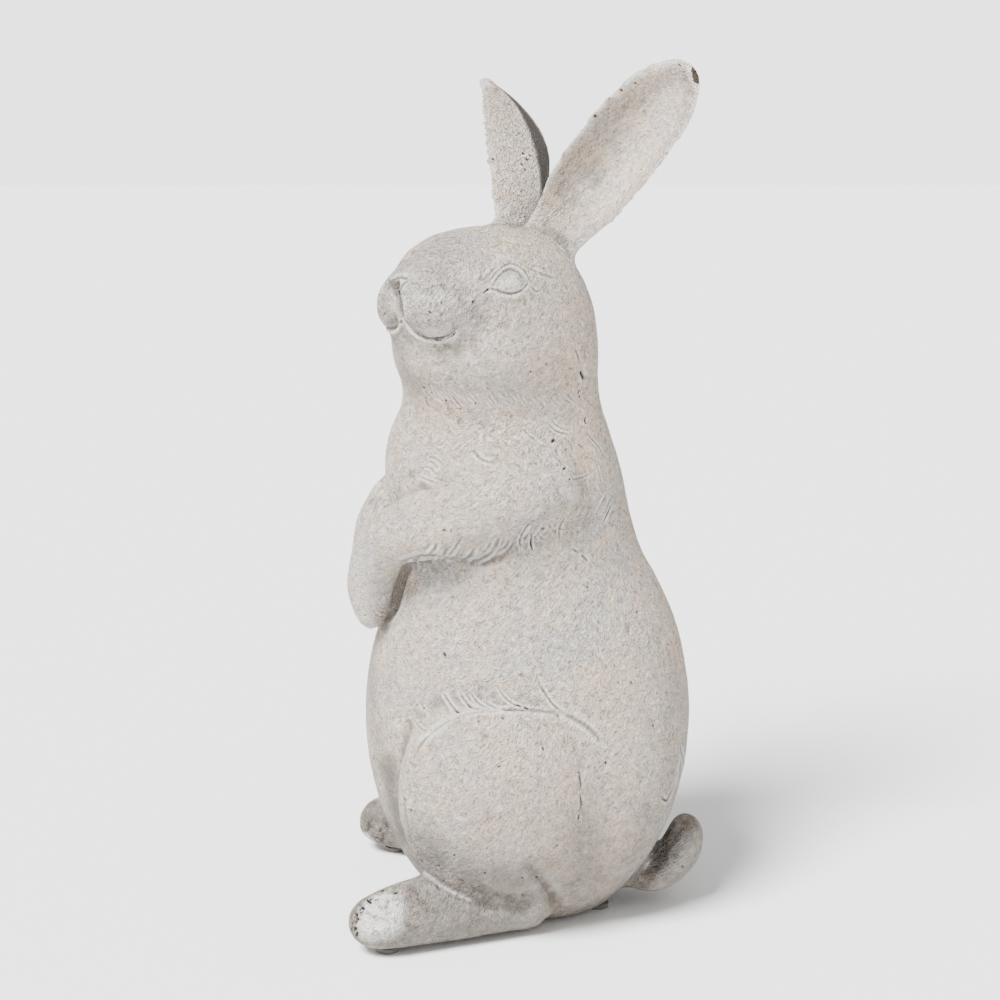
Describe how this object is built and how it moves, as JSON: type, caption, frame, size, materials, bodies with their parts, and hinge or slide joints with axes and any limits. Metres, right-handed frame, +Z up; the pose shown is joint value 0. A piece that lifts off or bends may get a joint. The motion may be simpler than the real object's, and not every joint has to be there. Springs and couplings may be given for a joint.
{
  "type": "rabbit figurine",
  "caption": "Stone-effect resin rabbit sitting up with forelegs drawn in, head turned to its left and ears in a V, for standing on a shelf, step or garden path",
  "frame": {"origin": "middle of the footprint, on the surface that the figure stands on", "axes": "+Z up, -Y the way the body faces, +X the rabbit's left side, to which the head is turned"},
  "size_m": [0.1432, 0.1282, 0.3084],
  "materials": {
    "resin": "matte stone-effect coat over filled casting resin, with worn dirt in the hollows",
    "steel": "plain cut dowel",
    "felt": "dark felt disc"
  },
  "bodies": {
    "root": {"torso_front": "resin", "torso_back": "resin", "head": "resin", "ear_left": "resin", "ear_right": "resin", "foreleg_left": "resin", "foreleg_right": "resin", "haunch_left": "resin", "haunch_right": "resin", "hind_foot_left": "resin", "hind_foot_right": "resin", "tail": "resin", "base_plug": "resin", "dowel_haunch_left": "steel", "dowel_hind_foot_left": "steel", "dowel_foreleg_left": "steel", "dowel_ear_left": "steel", "dowel_haunch_right": "steel", "dowel_hind_foot_right": "steel", "dowel_foreleg_right": "steel", "dowel_ear_right": "steel", "dowel_tail": "steel", "felt_toe_left": "felt", "felt_rump_left": "felt", "felt_toe_right": "felt", "felt_rump_right": "felt"}
  },
  "joints": []
}
